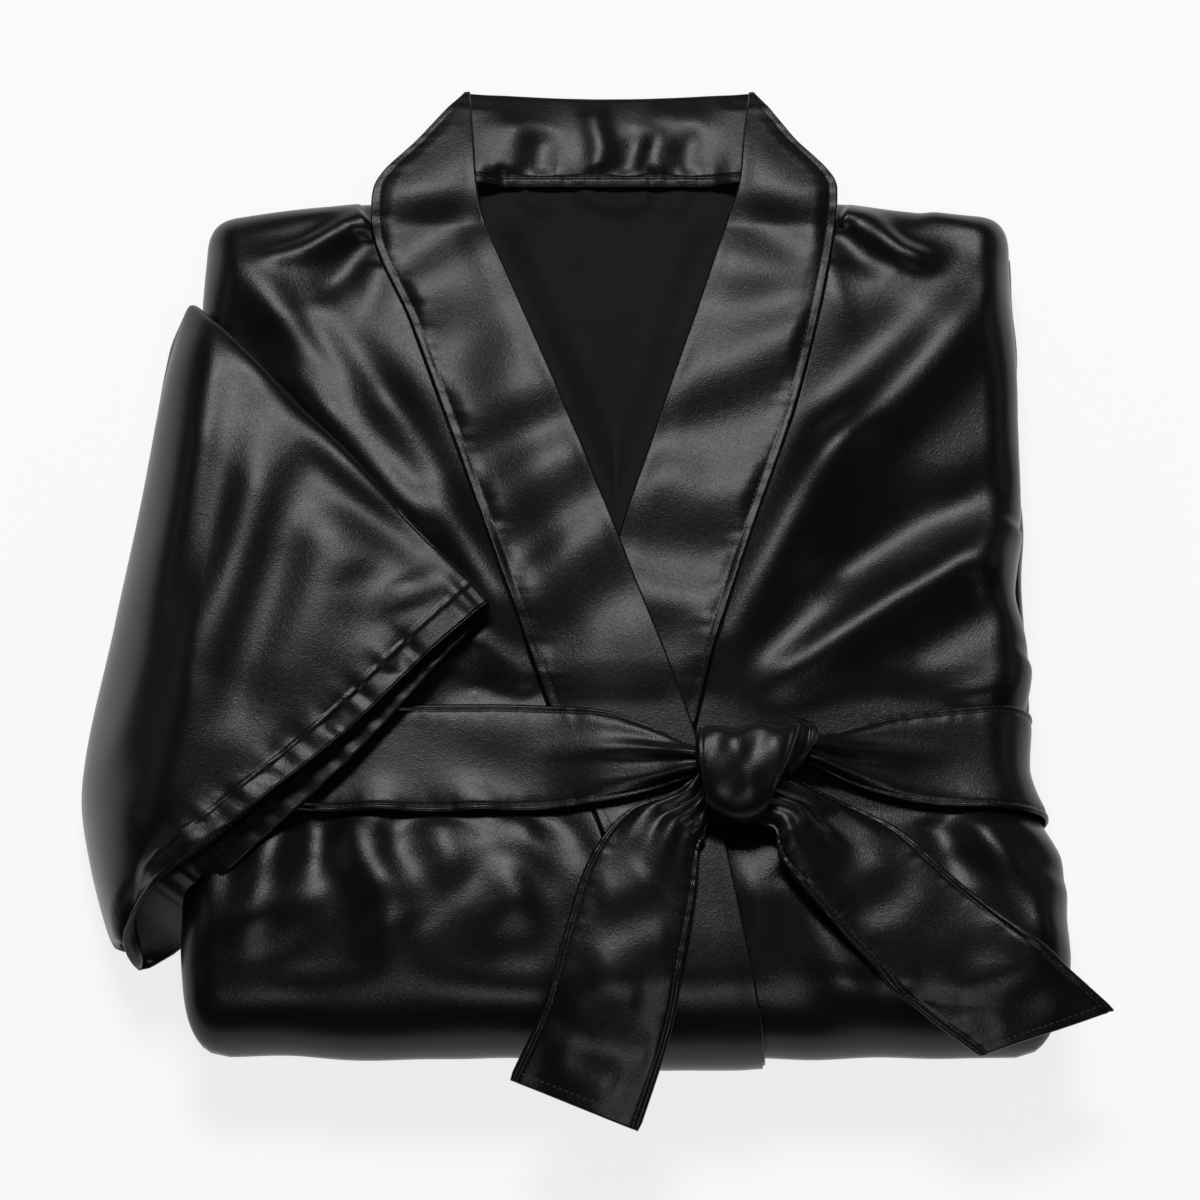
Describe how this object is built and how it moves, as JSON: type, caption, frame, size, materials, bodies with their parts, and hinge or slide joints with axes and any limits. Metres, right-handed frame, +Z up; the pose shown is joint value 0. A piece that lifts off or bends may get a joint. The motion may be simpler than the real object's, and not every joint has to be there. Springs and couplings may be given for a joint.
{
  "type": "kimono robe",
  "caption": "Short-sleeved kimono robe in plain black satin, folded into a flat packet with one sleeve laid across the front and its belt tied in a knot.",
  "frame": {"origin": "middle of the bounding box's underside, on the surface the folded robe lies on", "axes": "+X to the wearer's left, +Y from the bottom fold to the collar, +Z up out of the front"},
  "size_m": [0.461, 0.5168, 0.0835],
  "materials": {
    "satin": "satin",
    "neckband_satin": "satin",
    "belt_satin": "satin",
    "satin_reverse": "matte"
  },
  "bodies": {
    "root": {"folded_layers": "satin", "front_right": "satin", "front_left": "satin", "neckband_right": "neckband_satin", "neckband_left": "neckband_satin", "neckband_back": "neckband_satin", "back_panel": "satin_reverse", "sleeve_right": "satin", "sleeve_left": "satin", "belt_right_stretch": "belt_satin", "belt_left_stretch": "belt_satin", "belt_knot": "belt_satin", "belt_knot_turn": "belt_satin", "belt_tail_right": "belt_satin", "belt_tail_left": "belt_satin"}
  },
  "joints": []
}
